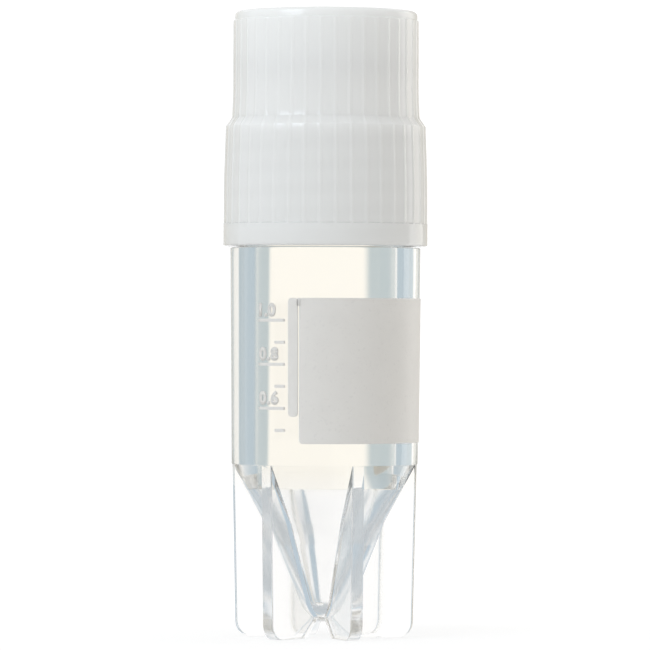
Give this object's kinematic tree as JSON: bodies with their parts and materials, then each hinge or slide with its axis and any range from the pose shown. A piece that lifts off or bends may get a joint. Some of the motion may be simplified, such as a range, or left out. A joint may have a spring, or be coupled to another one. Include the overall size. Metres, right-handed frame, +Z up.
{
  "type": "cryovial",
  "caption": "Self-standing cryogenic vial: clear polypropylene tube on a star foot, with a ribbed white screw cap, a sealing washer and a white writing panel.",
  "frame": {"origin": "on the axis of the tube, in the plane that the fins of the star foot stand on", "axes": "+Z up along the axis of the tube to the top of the cap; -Y is the front, with the left edge of the writing panel a little to its left; +X is to the right of the front"},
  "size_m": [0.0136, 0.0136, 0.0415],
  "materials": {
    "vial_plastic": "clear gloss, natural polypropylene",
    "cap_plastic": "translucent white gloss",
    "washer_silicone": "satin silicone",
    "panel_ink": "matte white ink"
  },
  "bodies": {
    "vial": {"vial": "vial_plastic", "writing_panel": "panel_ink"},
    "washer": {"sealing_washer": "washer_silicone"},
    "cap": {"cap": "cap_plastic"}
  },
  "joints": [
    {"name": "cap_rise", "type": "slide", "parent": "vial", "child": "washer", "axis": [0, 0, 1], "range_m": [0, 0.00375]},
    {"name": "cap_turn", "type": "hinge", "parent": "washer", "child": "cap", "pos_m": [0, 0, 0.034], "axis": [0, 0, 1], "range_deg": [0, 900.01]}
  ],
  "couplings": [
    {"joint": "cap_turn", "follows": "cap_rise", "rad_per_m": 4188.8}
  ]
}
